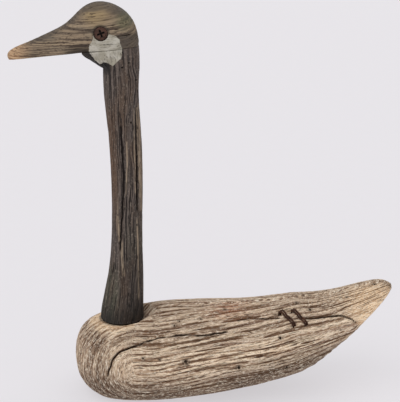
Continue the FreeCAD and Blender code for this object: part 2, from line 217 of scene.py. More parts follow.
def even_stations(positions, widths, count, density=1.0):
    """Positions along an axis at equal steps of the outline's own length, closer where density is higher."""
    steps = np.hypot(np.diff(positions), np.diff(widths)) * np.broadcast_to(density, positions.shape)[1:]
    length = running(steps)
    return np.interp(np.linspace(0, length[-1], count), length, positions)


def capped(rings, first_bulge, last_bulge, first_scales, last_scales):
    """The rings with shrinking rings added at both ends, and the two end points."""
    made, ends = [rings], []
    for ring, bulge, scales, at_start in (
        (rings[0], first_bulge, first_scales, True), (rings[-1], last_bulge, last_scales, False),
    ):
        centre, bulge = ring.mean(0), np.array(bulge, float)
        caps = np.array([centre + (ring - centre) * s + bulge * (1 - s * s) for s in scales])
        ends.append(centre + bulge)
        made = [caps[::-1], *made] if at_start else [*made, caps]
    return np.concatenate(made), ends


def grid_normals(rings, ends):
    """The outward direction at each point of the rings."""
    around = np.roll(rings, -1, 1) - np.roll(rings, 1, 1)
    first = np.broadcast_to(ends[0], rings[:1].shape)
    last = np.broadcast_to(ends[1], rings[:1].shape)
    padded = np.concatenate([first, rings, last])
    along = padded[2:] - padded[:-2]
    normals = np.cross(around, along)
    normals /= np.linalg.norm(normals, axis=2, keepdims=True) + 1e-12
    outward = rings - rings.mean(1, keepdims=True)
    if (normals * outward).sum() < 0:
        normals = -normals
    return normals


def new_object(name, data):
    made = bpy.data.objects.new(name, data)
    bpy.context.scene.collection.objects.link(made)
    return made


def closed_object(name, points, faces):
    """A smooth closed mesh of points in millimetres, its faces turned outwards."""
    mesh = bpy.data.meshes.new(name)
    mesh.from_pydata((points * MM).tolist(), [], faces)
    if signed_volume(mesh) < 0:
        mesh.flip_normals()
    mesh.shade_smooth()
    return new_object(name, mesh)


def skin_object(name, rings, normals, ends, offset, attributes):
    """A closed skin over the rings, moved out along their normals by offset and kept above the ground.

    Each attribute has a value or a vector for each point of the rings.
    """
    count, around = rings.shape[:2]
    moved = rings.reshape(-1, 3) + normals.reshape(-1, 3) * offset[:, None]
    moved[:, 2] = np.maximum(moved[:, 2], 0)
    k, j = np.meshgrid(np.arange(count - 1), np.arange(around), indexing="ij")
    nxt = (j + 1) % around
    quads = columns(k * around + j, k * around + nxt, (k + 1) * around + nxt, (k + 1) * around + j)
    faces = quads.reshape(-1, 4).tolist()
    first, last = count * around, count * around + 1
    for i in range(around):
        n = (i + 1) % around
        faces.append((first, n, i))
        faces.append((last, (count - 1) * around + i, (count - 1) * around + n))
    made = closed_object(name, np.vstack([moved, ends]), faces)
    for label, values in attributes.items():
        flat = values.reshape(count * around, -1)
        flat = np.vstack([flat, flat[:around].mean(0), flat[-around:].mean(0)])
        kind, field = ("FLOAT", "value") if flat.shape[1] == 1 else ("FLOAT_VECTOR", "vector")
        made.data.attributes.new(label, kind, "POINT").data.foreach_set(field, flat.astype(np.float32).ravel())
    return made


def signed_volume(mesh):
    mesh.calc_loop_triangles()
    points = np.zeros(len(mesh.vertices) * 3)
    mesh.vertices.foreach_get("co", points)
    corners = np.zeros(len(mesh.loop_triangles) * 3, int)
    mesh.loop_triangles.foreach_get("vertices", corners)
    a, b, c = points.reshape(-1, 3)[corners.reshape(-1, 3)].transpose(1, 0, 2)
    return float((a * np.cross(b, c)).sum()) / 6


def tube_faces(levels, sides):
    """The faces of a closed tube whose points come level by level."""
    faces = []
    for low in range(0, (levels - 1) * sides, sides):
        for i in range(sides):
            n = (i + 1) % sides
            faces.append((low + i, low + n, low + sides + n, low + sides + i))
    return [*faces, tuple(reversed(range(sides))), tuple(range((levels - 1) * sides, levels * sides))]


def turned(profile, segments=40):
    """Points and faces of a closed solid turned about +Z from (radius, height) pairs."""
    angles = [2 * math.pi * i / segments for i in range(segments)]
    points = [(radius * math.cos(a), radius * math.sin(a), height) for radius, height in profile for a in angles]
    return points, tube_faces(len(profile), segments)


def frame_at(place, axis):
    """The matrix that puts a turned solid at a place, its +Z along axis."""
    turn = Vector(axis).to_track_quat("Z", "Y").to_matrix().to_4x4()
    return Matrix.Translation(Vector(place)) @ turn


def cut_away(target, tools):
    """Cuts turned solids, given as (profile, matrix), out of the target; the painted shade inside the holes is 1 on
    the cut faces.
    """
    points, faces = [], []
    for profile, matrix in tools:
        local, sides = turned(profile)
        base = len(points)
        points += [(matrix @ Vector(p)) * MM for p in local]
        faces += [tuple(base + i for i in side) for side in sides]
    mesh = bpy.data.meshes.new("cutter")
    mesh.from_pydata(points, [], faces)
    mesh.attributes.new("hole_shade", "FLOAT", "POINT").data.foreach_set("value", np.ones(len(points)))
    cutter = new_object("cutter", mesh)
    modifier = target.modifiers.new("cut", "BOOLEAN")
    modifier.operation, modifier.solver, modifier.object = "DIFFERENCE", "MANIFOLD", cutter
    bpy.context.view_layer.update()
    evaluated = target.evaluated_get(bpy.context.evaluated_depsgraph_get())
    whole = bpy.data.meshes.new_from_object(evaluated)
    target.modifiers.remove(modifier)
    old, target.data = target.data, whole
    whole.name = target.name
    bpy.data.meshes.remove(old)
    bpy.data.objects.remove(cutter)
    bpy.data.meshes.remove(mesh)


def holes_in(made, holes, shape):
    """Tools for cut_away: one hole for each (x, y, z, size), square to the surface."""
    surface = surface_of(made)
    tools = []
    for *at, size in holes:
        place, normal = surface.find_nearest(Vector(at))[:2]
        tools.append(([(size * wide, height) for wide, height in shape], frame_at(place, normal)))
    return tools


# ---------------------------------------------------------------- the grain of the wood

# The sizes of the long and the short waves that bend the grain.
WANDERS = ((95, 34, 34), (30, 12, 12))


class Timber:
    """A piece of wood: growth rings around a bent pith line, and grain that runs along it."""

    def __init__(self, seed, pith, across, ring_width, warp=1.0, squeeze=((-1, 1), (1, 1))):
        self.noise = [Noise(seed * 10 + i) for i in range(6)]
        self.line, self.length = spline(pith, 1.5)
        self.forward = directions(np.gradient(self.line, axis=0))
        self.across = np.array(across, float)
        self.seed, self.ring_width, self.warp, self.squeeze = seed, ring_width, warp, np.transpose(squeeze)
        self.depths = np.random.default_rng(seed).uniform(0.35, 1.0, 512)

    def coordinates(self, points):
        """Along the grain, out from the pith and across in millimetres, and the way that the pith runs."""
        long, short = (columns(*(noise(points, size) for noise in self.noise[:3])) for size in WANDERS)
        bent = points + (long * 3.2 + short * 0.9) * self.warp
        distance, index = near_line(bent, self.line, 1e3)
        out = bent - self.line[index]
        forward = self.forward[index]
        past = (out * forward).sum(1)
        across = self.across - (forward @ self.across)[:, None] * forward
        distance = distance * np.interp(points[:, 0], *self.squeeze)
        sideways = (out * across).sum(1) * (1 - 0.7 * step(2, 12, -past))
        return columns(self.length[index] + past, distance, sideways), forward

    def lines(self, rings, grain, forward, reach, soften):
        """Noise smeared along the growth rings as they meet the surface: long raised and sunken lines."""
        shape = rings.shape[:2]
        ring = grain[:, 1].reshape(shape)
        along_k, along_j = np.gradient(rings, axis=0), slope_around(rings)
        ring_k, ring_j = np.gradient(ring, axis=0), slope_around(ring)
        sizes = [(u * v).sum(2) for u, v in ((along_k, along_k), (along_k, along_j), (along_j, along_j))]
        area = sizes[0] * sizes[2] - sizes[1] ** 2 + 1e-9
        contour = columns(ring_j, -ring_k) / np.sqrt(area)[..., None]
        pull = [(u * forward.reshape(rings.shape)).sum(2) for u in (along_k, along_j)]
        plain = columns(
            (pull[0] * sizes[2] - pull[1] * sizes[1]) / area, (pull[1] * sizes[0] - pull[0] * sizes[1]) / area
        )
        facing_rings = np.sqrt(((contour[..., :1] * along_k + contour[..., 1:] * along_j) ** 2).sum(2))
        sign = np.where((contour * plain).sum(2) < 0, -1, 1)
        share = step(0.03, 0.22, facing_rings)[..., None]
        flow = contour * share + plain * sign[..., None] * (1 - share)
        world = flow[..., :1] * along_k + flow[..., 1:] * along_j
        length = np.linalg.norm(world, axis=2, keepdims=True) + 1e-9
        flow, world = flow / length, world / length

        noise = np.random.default_rng(self.seed).normal(size=shape)
        noise = blurred(noise, soften, soften // 3)
        total = noise.copy()
        start = np.meshgrid(np.arange(shape[0], dtype=float), np.arange(shape[1], dtype=float), indexing="ij")
        for heading in (1, -1):
            k, j = start[0].copy(), start[1].copy()
            last = world * heading
            for _ in range(reach):
                at = np.rint(k).astype(int).clip(0, shape[0] - 1), np.rint(j).astype(int) % shape[1]
                turn = np.where((world[at] * last).sum(2) < 0, -1.0, 1.0)
                last = world[at] * turn[..., None]
                k = (k + flow[at][..., 0] * turn).clip(0, shape[0] - 1)
                j = j + flow[at][..., 1] * turn
                total += sampled(noise, k, j)
        total = blurred(total - blurred(total, 60, 6), 0, 1)
        return (total / total.std()).ravel(), facing_rings.ravel()

    def weathering(self, rings, grain, forward, soften, groove=0.8, ridge=0.3, checks=0.9):
        """How far the weather has eaten in, how dark each groove is, and the fine lines of the surface."""
        along, out, across = grain.T
        thin, steep = self.lines(rings, grain, forward, 8, soften[0])
        thick, _ = self.lines(rings, grain, forward, 17, soften[1])
        ring = out / self.ring_width + 0.4 * self.noise[3](columns(out, out, out), 9.0)
        number = np.floor(ring).astype(int)
        phase = ring - number
        soft = bell(phase, 0.5, 0.17) * step(0.3, 0.65, steep)
        broken = unit(0.55 + 1.2 * self.noise[4](columns(along / 26, number * 3.7, across / 20), 1.0))
        eaten = self.depths[number % len(self.depths)] * soft * broken
        strength = 1 + 0.8 * self.noise[3](grain, (40, 9, 11))
        lines = (0.6 * thin + 0.75 * thick) * strength.clip(0.35, 1.5)
        check = step(1.2, 2.1, -lines)
        broad = self.noise[5](grain, (60, 12, 14))
        offset = -groove * eaten - checks * check + ridge * np.clip(lines, -1.5, 1.5) + 0.3 * broad
        dark = unit(0.75 * eaten + check + 0.25 * step(0.2, 1.2, -lines))
        return offset, dark, phase, lines


def slope_around(field):
    return (np.roll(field, -1, 1) - np.roll(field, 1, 1)) / 2


def sampled(field, k, j):
    """The field between its samples; the second direction closes on itself."""
    low_k, low_j = np.floor(k).astype(int), np.floor(j).astype(int)
    high_k = np.minimum(low_k + 1, field.shape[0] - 1)
    part_k, part_j = k - low_k, j - low_j
    a, b = low_j % field.shape[1], (low_j + 1) % field.shape[1]
    first = field[low_k, a] * (1 - part_j) + field[low_k, b] * part_j
    second = field[high_k, a] * (1 - part_j) + field[high_k, b] * part_j
    return first * (1 - part_k) + second * part_k


def blended_grain(first, second, points, share):
    """The grain of two timbers, passing from the first to the second with share."""
    (a, a_forward), (b, b_forward) = first.coordinates(points), second.coordinates(points)
    share = share[:, None]
    return a + (b - a) * share, a_forward + (b_forward - a_forward) * share


def crack(points, route, width, depth, taper=9.0):
    """A crack along a route on the surface: how deep at each point, and how near it is, 0 to 1."""
    line, length = spline(route)
    distance, index = near_line(points, line, 9.0)
    at = length[index]
    ends = step(0, taper, at) * step(0, taper, length[-1] - at)
    wide = width * (0.35 + 0.65 * ends)
    near = unit(1 - distance / (4 * width)) * (0.55 + 0.45 * ends)
    return depth * (0.25 + 0.75 * ends) * bell(distance, 0, wide), near


def stitch_axes(stitch):
    """The middle of a stitch and its axes: along the wires, across them and up."""
    x, y, z, lean, turn = stitch
    turning = Matrix.Rotation(math.radians(lean), 3, "X") @ Matrix.Rotation(math.radians(turn), 3, "Z")
    return np.array((x, y, z)), np.array(turning).T


STITCHES = {"front_stitch": (83, -31.6, 90.4, 32, -52), "rear_stitch": (95, -31.2, 91.6, 32, -56)}
STITCH_HALF, LEG_CLEARANCE = 11.0, 7.0
STITCH_LEGS = [
    place + axes[0] * side * STITCH_HALF
    for place, axes in map(stitch_axes, STITCHES.values())
    for side in (-1, 1)
]
TAIL_SQUEEZE = ((90, 1), (185, 1.8))
PINE = Timber(
    3, [(-69, -64, 45), (-44, -66, 46), (-4, -64, 52), (30, -60, 57), (65, -55, 62), (95, -50, 68), (126, -41, 75),
        (160, -27, 86), (195, -12, 100)],
    (0, 0.7, 0.7), 3.1, 0.8, TAIL_SQUEEZE,
)
PINE_RIGHT = Timber(
    4, [(-60, 64, 36), (-30, 67, 40), (10, 68, 46), (60, 60, 56), (110, 48, 68), (150, 34, 80), (195, 12, 100)],
    (0, -0.7, 0.7), 3.1, 0.8, TAIL_SQUEEZE,
)
BODY_CRACKS = [
    ([(-97, -55.6, 30), (-96.4, -55.9, 38.7), (-93.2, -55.2, 49.3), (-90.2, -53.3, 56), (-85.3, -51.2, 61.5),
      (-71, -50.2, 67.6), (-59, -48.8, 71.7), (-43.6, -46.9, 75.6), (-33.2, -46.2, 77.1), (-16.4, -45.2, 78.5),
      (-3.8, -46.4, 77.6), (13, -43.5, 79.2), (29.8, -41.1, 80.4)], 1.3, 3.0),
    ([(25.9, -27.6, 87.6), (45, -28.6, 88.6), (65, -30, 89.3), (84, -31.5, 90), (102.3, -33.5, 90.7),
      (118, -31.4, 91.1), (126.1, -30.5, 91.7), (138.3, -30.8, 92), (144.1, -32, 90.1), (149.5, -32.4, 87.8),
      (153.2, -32.7, 83.9), (156, -33, 79)], 1.25, 3.0),
    ([(38, -41.8, 80), (46, -42.6, 79.6), (54, -42.9, 79.3)], 0.9, 1.8),
    ([(-101, -48, 14), (-80, -54, 12.5), (-52, -57, 14), (-20, -58, 15.5), (12, -57, 19), (44, -53, 25)], 0.8, 1.5),
    ([(-70, 50, 66), (-48, 54.5, 66.5), (-20, 58, 67), (8, 59, 69), (40, 56, 73)], 0.9, 2.0),
    ([(60, 50, 50), (84, 46.5, 52), (108, 42, 58), (128, 37, 65)], 0.9, 1.8),
]
WORM_HOLES = [
    (-60.8, -59.5, 58.1, 1.0), (-44, -61.7, 57.8, 0.8), (-18.1, -62.6, 55.5, 2.0), (-29.9, -35.2, 83.2, 0.8),
    (-25.1, -29.9, 85.7, 0.9), (-3.8, -27.5, 87.3, 1.1), (20.3, -12.9, 91.6, 0.9), (34.5, -57.8, 47.3, 1.5),
    (75.7, -47.3, 74.9, 1.2), (93.3, -12.7, 99.1, 0.9), (106.4, -24.3, 96.1, 1.2), (108.2, 0.6, 102, 0.8),
    (143.9, -14.9, 105.9, 0.8), (172.8, -6.3, 116.7, 0.9), (82.4, -47.5, 42.7, 1.4), (-52, 58, 55, 1.1),
    (-14, 63.5, 50, 0.9), (21, 45, 80, 1.2), (48, 57, 51, 0.9), (66, 30, 90, 1.0), (96, 44, 62, 1.3),
    (124, 20, 98, 0.8), (-96, 48, 52, 1.0), (-36, 20, 86, 0.9),
]


def build_body():
    """The body: rings along the x axis, from rays at the CAD body."""
    tree = surface_of(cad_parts["body"])
    low, high = (np.array(c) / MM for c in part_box("body"))
    xs = np.arange(low[0] + 0.4, high[0] - 0.7, 0.4)
    middle = np.interp(xs, (-131, -104, -38, 62, 112, 150, 190), (41, 38, 43, 54, 70, 93, 113.6))
    side = half_widths(tree, xs, middle, 200)
    side = np.where(np.isnan(side), 10, side)
    stations = even_stations(xs, side, BODY_RINGS, np.interp(xs, (-95, -70, 150, 175), (1.7, 1, 1, 1.3)))
    mid = np.interp(stations, xs, middle)
    half_width = np.interp(stations, xs, side)
    half_height = np.interp(stations, (-131, -120, -78, 12, 112, 150, 175, 190), (14, 32, 44, 45, 32, 19, 9, 3))
    angle = np.linspace(0, 2 * math.pi, BODY_AROUND, endpoint=False) + 0.5 * math.pi
    centres = columns(stations, 0 * stations, mid)[:, None]
    across, up = half_width[:, None] * np.cos(angle), half_height[:, None] * np.sin(angle)
    arms = directions(columns(np.zeros_like(up), across, up))
    hits = cast_in(tree, centres, arms, 200)
    # The skin closes over the socket and the wire holes, which are cut exactly at the end.
    from_peg = np.hypot(hits[..., 0] - PEG_X, hits[..., 1])
    socket = (from_peg < PEG_BORE_RADIUS + 0.6) & (hits[..., 2] > 20) & (hits[..., 2] < SEAT_Z - 0.05)
    bad = np.isnan(hits[..., 0])
    for leg in STITCH_LEGS:
        bad |= np.linalg.norm(hits - leg, axis=2) < LEG_CLEARANCE
    radius = np.linalg.norm(hits - centres, axis=2)
    radius = np.where(socket, (SEAT_Z - mid[:, None]) / np.maximum(arms[..., 2], 0.2), radius)
    exact = mended(radius, bad)
    soft = blurred(exact, 4, 2)
    points = centres + arms * exact[..., None]
    seat = (np.hypot(points[..., 0] - PEG_X, points[..., 1]) < FOOT_RADIUS + 0.2) & (points[..., 2] > 60)
    points = np.where(seat[..., None], points, centres + arms * soft[..., None])
    rings, ends = capped(
        points, (-1.6, 0, 0), (0.9, 0, 0), (0.96, 0.9, 0.8, 0.68, 0.55, 0.4, 0.25, 0.1), (0.9, 0.7, 0.45, 0.2)
    )
    normals = grid_normals(rings, ends)
    flat_points, flat_normals = rings.reshape(-1, 3), normals.reshape(-1, 3)
    x, y, z = flat_points.T

    # The relief: weathered grain, calmer where it is worn round the neck, polished at the tail or between the wires.
    turn_over = step(-15, 15, y + 5 * PINE.noise[0](flat_points, 30.0))
    grain, forward = blended_grain(PINE, PINE_RIGHT, flat_points, turn_over)
    offset, dark, phase, lines = PINE.weathering(rings, grain, forward, (0, 1))
    from_peg = np.hypot(x - PEG_X, y)
    worn = (1 - step(26, 38, from_peg)) * step(60, 68, z) * step(-64, -74, x)
    worn = unit(worn + 0.25 * PINE.noise[1](flat_points, 9.0) * (worn > 0))
    lobe_edge = np.interp(x, (100, 138, 144, 149.5, 153, 157), (90.7, 92, 90.1, 87.8, 84, 76))
    tail_polish = step(128, 162, x) * step(0, 3, z - lobe_edge) * step(0, -14, y)
    heart = (1 - step(8, 30, np.hypot(x + 80, z - 44))) * (y < 0)
    offset *= (1 - 0.75 * worn) * (1 - 0.45 * tail_polish) * (1 - 0.6 * heart)
    dark *= (1 - 0.7 * worn) * (1 - 0.5 * tail_polish) * (1 - 0.7 * heart)
    lines *= (1 - 0.35 * worn) * (1 - 0.3 * tail_polish) * (1 - 0.6 * heart)
    between = bell(np.linalg.norm(flat_points - (84, -25.5, 94), axis=1), 0, 5.5)
    offset, dark, lines = offset * (1 - 0.7 * between), dark * (1 - between), lines + 0.9 * between
    deep, gap = sunk_by(BODY_CRACKS, flat_points, PINE, 0.9)
    offset -= deep
    # The rear crack ends over a raised lobe, and the seat and the sole stay flat.
    below = lobe_edge - z
    lobe = step(0, 1.5, below) * (1 - step(4, 20, below)) * step(96, 128, x) * (1 - step(150, 157, x)) * (y < 0)
    offset += 1.4 * lobe
    fade = step(FOOT_RADIUS + 0.2, FOOT_RADIUS + 4, from_peg) + (z < 60)
    offset *= unit(fade)
    offset = np.where(z < 0.6, np.minimum(offset, 0) * 0.4, offset)

    # What the material needs: worn and grey wood, painted shade underneath with a darker band low on the breast,
    # painted shade in the holes and round the neck's foot, and rust from the wires.
    # Painted shade: the wood darkens towards the bottom of the body.
    painted_underside_shade = 1 - step(16, 48, z - 0.24 * np.maximum(x, 0))
    upward = step(0.35, 0.9, flat_normals[:, 2])
    chest = x + 0.25 * (z - 45)
    breast = (1 - step(-110, -86, chest)) * (0.65 + 0.35 * step(-130, -114, chest))
    tone = columns(
        unit(0.9 * worn + 0.9 * tail_polish),
        unit(0.7 * upward + 0.95 * breast) * (1 - worn) * (1 - 0.6 * tail_polish),
        unit(0.95 * painted_underside_shade + 0.4 * bell(chest, -101, 11) * (z < 70)),
    )
    # Painted shade in a ring round the neck's foot, and in and round the worm holes.
    hole_shade = 0.6 * unit(1 - np.abs(from_peg - FOOT_RADIUS - 0.6) / 1.8) * (z > 60)
    for hx, hy, hz, size in WORM_HOLES:
        away = np.linalg.norm(flat_points - (hx, hy, hz), axis=1)
        hole_shade = np.maximum(hole_shade, step(2.2 * size + 0.8, 1.1 * size, away))
    rusty = bell(x, 26, 22) * step(84, 91, z) * step(8, -6, y)
    made = skin_object("carved_body_wood", rings, normals, ends, offset, {
        "grain": grain, "dark": dark, "phase": phase, "lines": lines, "gap": gap, "tone": tone, "hole_shade": hole_shade,
        "rusty": rusty,
    })
    peg_bore = [(PEG_BORE_RADIUS, -PEG_BORE_DOWN), (PEG_BORE_RADIUS, 6)]
    tools = [(peg_bore, frame_at((PEG_X, 0, SEAT_Z), UP))]
    legs = [(*leg, 1.0) for leg in STITCH_LEGS]
    cut_away(made, tools + holes_in(made, WORM_HOLES, BODY_HOLE) + holes_in(made, legs, WIRE_HOLE))
    return made


# ---------------------------------------------------------------- head and neck

HEAD_WOOD = Timber(
    5, [(-200, 6, 322), (-150, 8, 326), (-115, 12, 334), (-85, 12, 338), (-60, 12, 338)], (0, 1, 0), 2.4, 0.45
)
NECK_WOOD = Timber(7, [(-128, 22, 60), (-126, 22, 200), (-124, 22, 380)], (0, 1, 0), 2.5, 0.4)
PATCH = np.array([
    (-106.1, 372.6), (-99, 370.5), (-92.9, 371.2), (-90.4, 374.6), (-85.5, 373.7), (-81.3, 370.6), (-78.7, 361.5),
    (-78.5, 357.2), (-79.9, 350.3), (-83, 347.4), (-88.1, 343.3), (-92, 345.2), (-96.1, 346.7), (-100.7, 344),
    (-104.9, 348), (-108.7, 353.3), (-111, 357.8), (-110, 363.7), (-107.1, 367.7),
])
NECK_CRACKS = [
    ([(-66.4, -7.6, 306), (-66.2, -7.6, 300), (-66, -8.4, 283), (-65.9, -9, 268), (-65.9, -9.4, 248),
      (-65.8, -9.5, 228), (-65.8, -9.3, 207), (-66, -9.3, 190)], 1.55, 3.4),
    ([(-81.6, -15, 290), (-81.2, -14.5, 270), (-80.6, -14.3, 250), (-79.4, -14.3, 226), (-80.8, -14, 209.5),
      (-81.5, -13.9, 195), (-82.7, -13.7, 181), (-84.4, -13.4, 160), (-86, -12.8, 148)], 1.35, 2.2),
    ([(-90.3, -11, 146), (-92, -10.6, 135), (-93.9, -10, 124)], 1.1, 1.5),
    ([(-84, -14.2, 262), (-84.6, -13.6, 244), (-84, -13.8, 228)], 0.7, 1.2),
    ([(-75, 14.4, 330), (-74.5, 14.3, 290), (-75.5, 14.3, 250), (-74.5, 14.3, 214)], 1.1, 2.2),
    ([(-88, 12.5, 240), (-88.5, 12.4, 200), (-87.5, 13, 160), (-88, 15, 128)], 1.0, 1.8),
]
NECK_STREAKS = [
    ([(-86.4, -12, 190), (-85.9, -12.2, 180), (-84.9, -13.1, 166)], 1.5),
    ([(-82.5, -14.3, 164), (-82.4, -14.6, 148), (-80.9, -16.2, 130)], 1.4),
    ([(-67.2, -10.4, 186), (-66.6, -10, 164), (-66.4, -10.4, 130), (-66.6, -11, 104)], 1.3),
    ([(-63.6, -4.2, 303), (-63.2, -4, 277), (-63, -5, 247), (-63, -5, 216), (-63.4, -5.2, 196)], 2.2),
    ([(-64.6, -6.4, 300), (-64.2, -6.8, 270), (-64, -7.2, 240), (-64, -7, 210)], 1.3),
    ([(-68.5, -11.4, 300), (-68.3, -11.8, 262), (-68.3, -12, 215)], 0.8),
    ([(-76, -14.4, 268), (-75.7, -14.4, 250), (-76.4, -14.4, 232), (-77.4, -14, 214)], 0.8),
    ([(-85.6, -12.8, 232), (-86, -12.4, 214), (-86.2, -12, 194)], 0.7),
]
HEAD_CRACKS = [
    ([(-91, -17.1, 371.4), (-83.2, -16.7, 372), (-72.3, -13.4, 373.5), (-65.6, -5.6, 374.3)], 0.6, 1.5),
    ([(-108, -15, 363.2), (-98, -16.8, 364), (-87, -17, 365.2), (-80, -16.4, 365.6)], 0.42, 0.6),
    ([(-94.5, -16.2, 382), (-86, -15.3, 382.6), (-77, -13.3, 383.8)], 0.7, 1.2),
    ([(-92, -16.6, 377.8), (-84, -16.3, 378.6), (-76.5, -14, 379.6)], 0.7, 1.1),
    ([(-128, -12.4, 361), (-118, -13.8, 362), (-111, -14.2, 362.4)], 0.5, 0.8),
    ([(-92, 16.6, 380), (-82, 16, 381), (-74, 13, 382)], 0.7, 1.3),
]

SEAM_NORMAL = (-SEAM_SLOPE, 0, 1)
DOWEL_BORE = (
    [(DOWEL_RADIUS + 0.04, -DOWEL_REACH), (DOWEL_RADIUS + 0.04, DOWEL_REACH)],
    frame_at((DOWEL_X, 0, seam_z(DOWEL_X)), SEAM_NORMAL),
)
NECK_HOLES = [
    (-71.5, -12.9, 287, 0.95), (-67, -10.5, 181.4, 0.95), (-72.4, -14, 346.1, 0.8), (-79, -15.7, 342, 0.9),
    (-66.2, -7.6, 328, 0.8), (-80, 14.4, 301, 0.9), (-72, 13, 246, 0.8), (-90, 11, 196, 0.9), (-79, 16, 126, 1.0),
    (-99, 4, 232, 0.8), (-63, 3, 268, 0.8),
]
HEAD_HOLES = [(-74, -12.5, 386, 0.6), (-139, 9.6, 366, 0.6), (-70, 10, 369, 0.7)]


def patch_depth(points):
    """How far inside the painted cheek patch each point is, seen from the side.

    It is negative outside, and in the middle of the head, so that each side has its own patch.
    """
    at = points[:, [0, 2]]
    best = np.full(len(at), 1e3)
    inside = np.zeros(len(at), bool)
    for a, b in zip(PATCH, np.roll(PATCH, -1, 0)):
        edge = b - a
        t = unit(((at - a) @ edge) / (edge @ edge))
        best = np.minimum(best, np.linalg.norm(at - a - t[:, None] * edge, axis=1))
        crosses = (a[1] > at[:, 1]) != (b[1] > at[:, 1])
        level = a[0] + (at[:, 1] - a[1]) / (edge[1] + 1e-9) * edge[0]
        inside ^= crosses & (at[:, 0] < level)
    depth = np.where(inside, best, -best)
    return np.where(np.abs(points[:, 1]) > 6, depth, -8.0)


def sunk_by(cracks, points, wood, wander=0.6):
    """How deep the cracks go at each point, and how near the nearest is."""
    shaken = points + wander * columns(*(wood.noise[i](points, 7.0) for i in range(3)))
    deep, gap = np.zeros(len(points)), np.zeros(len(points))
    for route, width, depth in cracks:
        sunk, near = crack(shaken, route, width, depth)
        deep += sunk
        gap = np.maximum(gap, near)
    return deep, gap


def painted_wood(wood, rings, cracks, wander, relief):
    """What the weather, the cracks and the paint do to a skin: its offset, and its first attributes."""
    points = rings.reshape(-1, 3)
    grain, forward = wood.coordinates(points)
    offset, dark, _, lines = wood.weathering(rings, grain, forward, (0, 1), *relief)
    deep, gap = sunk_by(cracks, points, wood, wander)
    paint = patch_depth(points)
    painted = step(-0.2, 0.3, paint)
    offset = (offset - deep) * (1 - 0.6 * painted) + 0.15 * painted
    return offset, {"grain": grain, "dark": dark, "lines": lines, "gap": gap, "paint": paint}


def build_neck():
    """The neck: rings up its axis that tilt towards the plane of the seam."""
    tree = surface_of(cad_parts["neck"])
    top = seam_z(NECK_X)
    fine = np.linspace(SEAT_Z + 0.02, top - 0.03, 3000)
    spacing = np.interp(fine, (77, 80, 84, 325, 338, top), (0.45, 0.5, 1.9, 1.9, 1.0, 0.6))
    share = running(0.5 / spacing[1:] + 0.5 / spacing[:-1])
    stations = np.interp(np.linspace(0, share[-1], NECK_RINGS), share, fine)
    slopes = SEAM_SLOPE * step(305, top - 0.03, stations)
    centres = columns(0 * stations + NECK_X, 0 * stations, stations)

    def rays(angles):
        arms = directions(columns(np.cos(angles), np.sin(angles), slopes[:, None] * np.cos(angles)))
        return arms, cast_in(tree, centres[:, None], arms, 120)

    # Equal steps round each ring, found from a coarse first round of rays.
    coarse = np.broadcast_to(np.linspace(0, 2 * math.pi, 97), (NECK_RINGS, 97))
    _, found = rays(coarse)
    runs = np.nan_to_num(np.linalg.norm(np.diff(found, axis=1), axis=2), nan=1.0)
    runs = blurred(np.maximum(runs, 0.05), 2, 6)
    angles = np.array([
        np.interp(np.linspace(0, run.sum(), NECK_AROUND, endpoint=False), running(run), coarse[0]) for run in runs
    ])
    arms, hits = rays(angles)
    radius = np.linalg.norm(hits - centres[:, None], axis=2)
    radius = blurred(mended(radius, np.isnan(radius)), 1, 0)
    # The foot is rounded, and the edges under the head are eased so that the seam shows.
    rise = stations - SEAT_Z
    rounded = np.clip(FOOT_ROUND - rise, 0, FOOT_ROUND)
    radius -= (FOOT_ROUND - np.sqrt(FOOT_ROUND**2 - rounded**2))[:, None]
    radius -= (0.4 * bell(stations, top, 0.6))[:, None]
    radius -= step(332, 356, stations)[:, None] * step(0.5, 1.0, np.cos(angles)) * 0.8
    forward = radius * np.cos(angles)
    height = stations[:, None] + slopes[:, None] * forward
    radius += 2.2 * bell(height, seam_z(NECK_X + forward), 3.0) * step(0.6, 0.95, -np.cos(angles))
    rings, ends = capped(
        centres[:, None] + arms * radius[..., None], (0, 0, 0), (0, 0, 0), (0.85, 0.65, 0.5), (0.85, 0.6, 0.35)
    )
    normals = grid_normals(rings, ends)
    points = rings.reshape(-1, 3)
    x, y, z = points.T
    offset, made_of = painted_wood(NECK_WOOD, rings, NECK_CRACKS, 0.6, (0.22, 0.12, 0.45))
    to_seam = seam_z(x) - z
    offset *= step(0.0, 1.6, to_seam) * step(0.0, 1.2, z - SEAT_Z)
    from_axis = np.hypot(x - NECK_X, y)
    streak = np.zeros(len(x))
    for route, width in NECK_STREAKS:
        distance, _ = near_line(points, spline(route)[0], 6.0)
        streak = np.maximum(streak, unit(1.3 - distance / width))
    olive = (1 - step(122, 150, z)) * step(-80, -92, x) + 0.5 * bell(z, 160, 26) * step(-84, -74, x)
    brown = step(170, 215, z) * (1 - step(285, 320, z)) * step(-82, -90, x)
    tone = columns(unit(streak), unit(olive), unit(brown))
    throat = bell(np.hypot(x + 96.5, (z - 341) * 0.9), 0, 7.5, 4) * (z < 350)
    jowl = step(336, 346, z) * step(-92, -100, x) * (made_of["paint"] < 0.5)
    # Painted shade, fed into shade: darker towards the neck's foot, and on its back half low down.
    darkening = 0.85 * step(112, 77.5, z) + 0.4 * step(175, 130, z) * step(-88, -80, x)
    made_of |= {
        "tone": tone, "shade": unit(throat + 0.9 * jowl + darkening),
        "seam": unit(1 - to_seam / 3) * (from_axis > 5),
    }
    made = skin_object("neck_wood", rings, normals, ends, offset, made_of)
    peg_bore = [(PEG_BORE_RADIUS, -2), (PEG_BORE_RADIUS, PEG_BORE_UP)]
    tools = [(peg_bore, frame_at((PEG_X, 0, SEAT_Z), UP)), DOWEL_BORE]
    cut_away(made, tools + holes_in(made, NECK_HOLES, PIN_HOLE))
    return made


